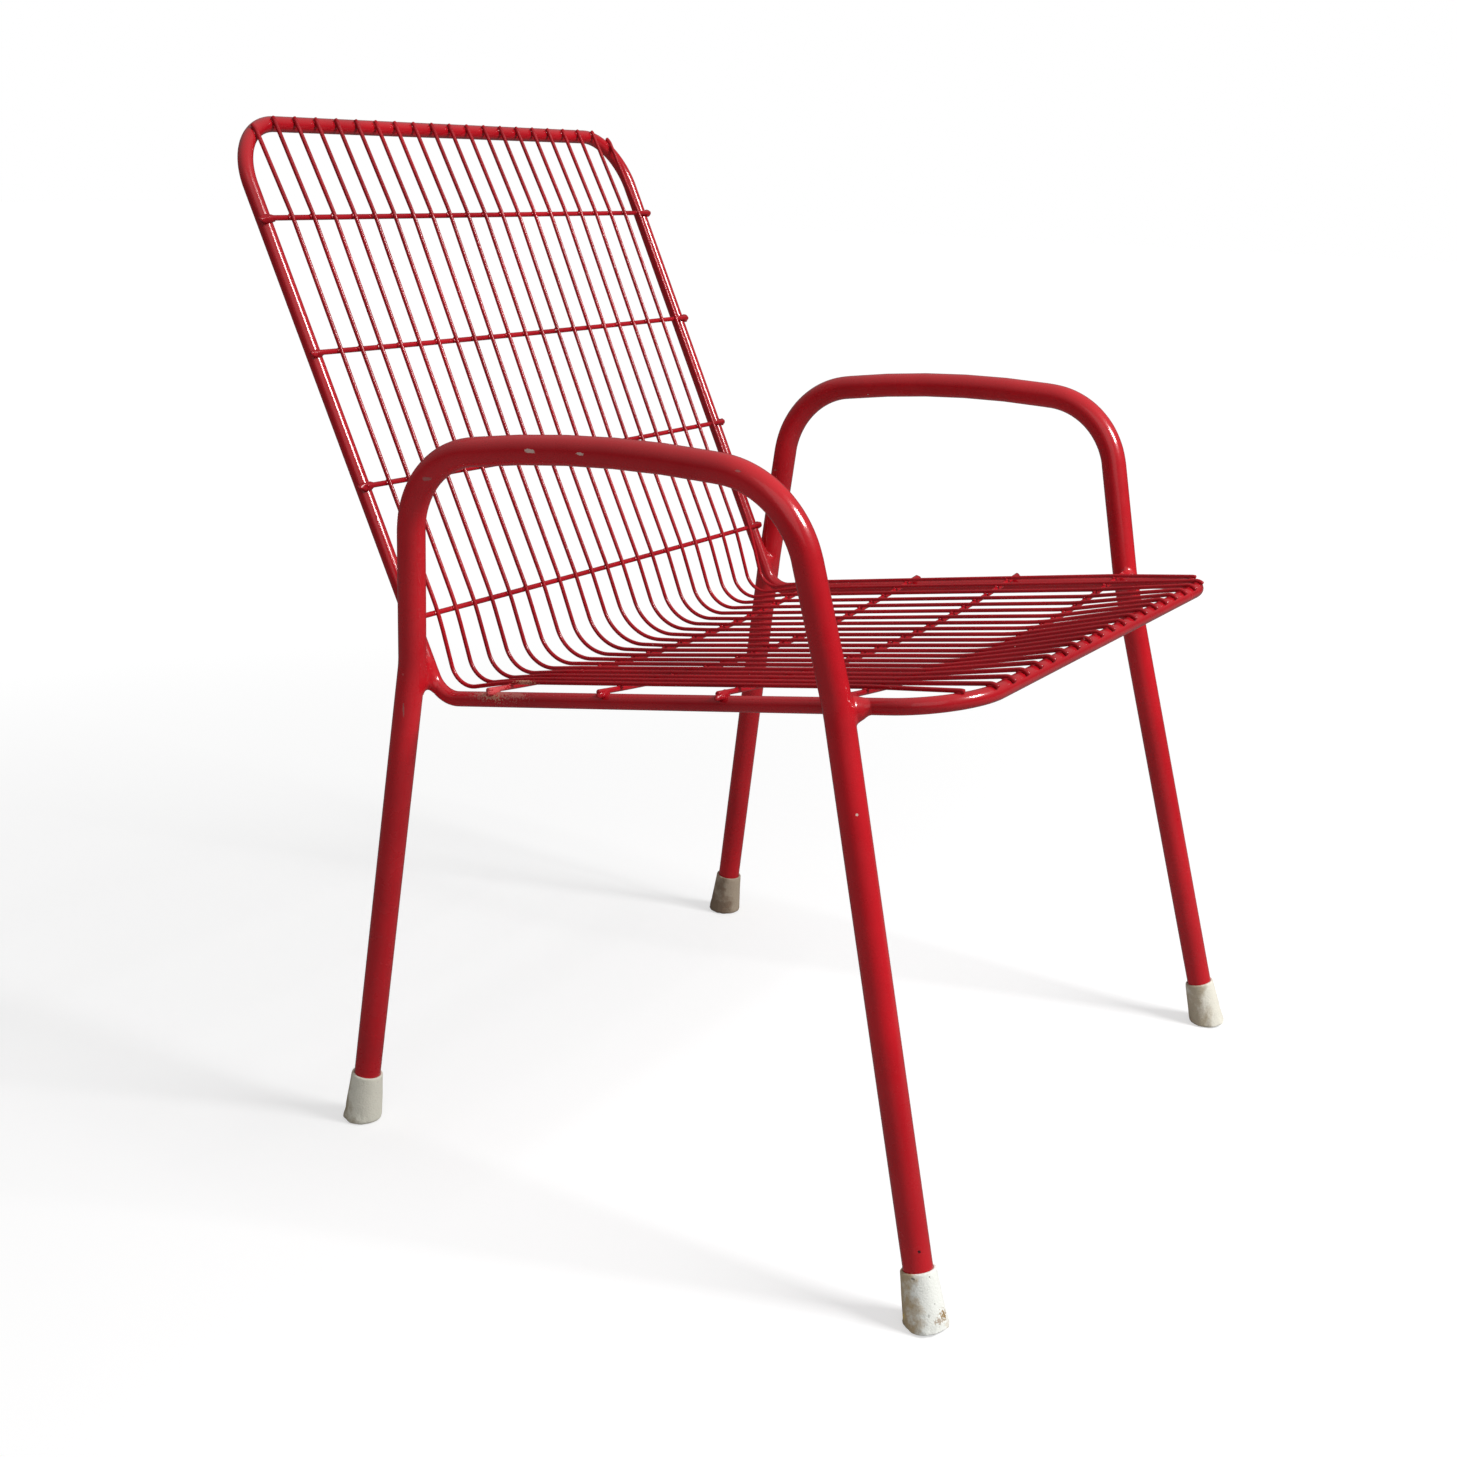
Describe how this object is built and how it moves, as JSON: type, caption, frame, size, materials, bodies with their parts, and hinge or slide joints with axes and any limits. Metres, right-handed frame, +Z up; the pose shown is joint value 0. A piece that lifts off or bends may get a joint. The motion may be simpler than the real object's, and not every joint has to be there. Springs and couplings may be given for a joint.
{
  "type": "garden armchair",
  "caption": "Welded steel garden armchair with bent tube legs and arms, a wire lattice seat and back on a tube loop, and rubber ferrules on the feet.",
  "frame": {"origin": "on the floor, in the middle of the chair's overall width and depth", "axes": "+Z up from the floor, -Y the way the sitter faces, +X towards the sitter's left"},
  "size_m": [0.6774, 0.7124, 0.8229],
  "materials": {
    "frame_lacquer": "gloss lacquer, worn in places",
    "loop_lacquer": "gloss lacquer, worn in places",
    "wire_lacquer": "gloss lacquer",
    "rubber": "matt, stained and worn"
  },
  "bodies": {
    "root": {"seat_back_frame": "loop_lacquer", "side_frame_right": "frame_lacquer", "side_frame_left": "frame_lacquer", "weld_front_right": "frame_lacquer", "weld_front_left": "frame_lacquer", "weld_rear_right": "frame_lacquer", "weld_rear_left": "frame_lacquer", "long_wire_01": "wire_lacquer", "long_wire_02": "wire_lacquer", "long_wire_03": "wire_lacquer", "long_wire_04": "wire_lacquer", "long_wire_05": "wire_lacquer", "long_wire_06": "wire_lacquer", "long_wire_07": "wire_lacquer", "long_wire_08": "wire_lacquer", "long_wire_09": "wire_lacquer", "long_wire_10": "wire_lacquer", "long_wire_11": "wire_lacquer", "long_wire_12": "wire_lacquer", "long_wire_13": "wire_lacquer", "long_wire_14": "wire_lacquer", "long_wire_15": "wire_lacquer", "long_wire_16": "wire_lacquer", "long_wire_17": "wire_lacquer", "long_wire_18": "wire_lacquer", "long_wire_19": "wire_lacquer", "long_wire_20": "wire_lacquer", "long_wire_21": "wire_lacquer", "back_cross_wire_1": "wire_lacquer", "back_cross_wire_2": "wire_lacquer", "back_cross_wire_3": "wire_lacquer", "back_cross_wire_4": "wire_lacquer", "seat_cross_wire_1": "wire_lacquer", "seat_cross_wire_2": "wire_lacquer", "seat_cross_wire_3": "wire_lacquer", "seat_cross_wire_4": "wire_lacquer", "ferrule_front_right": "rubber", "ferrule_front_left": "rubber", "ferrule_rear_right": "rubber", "ferrule_rear_left": "rubber"}
  },
  "joints": []
}
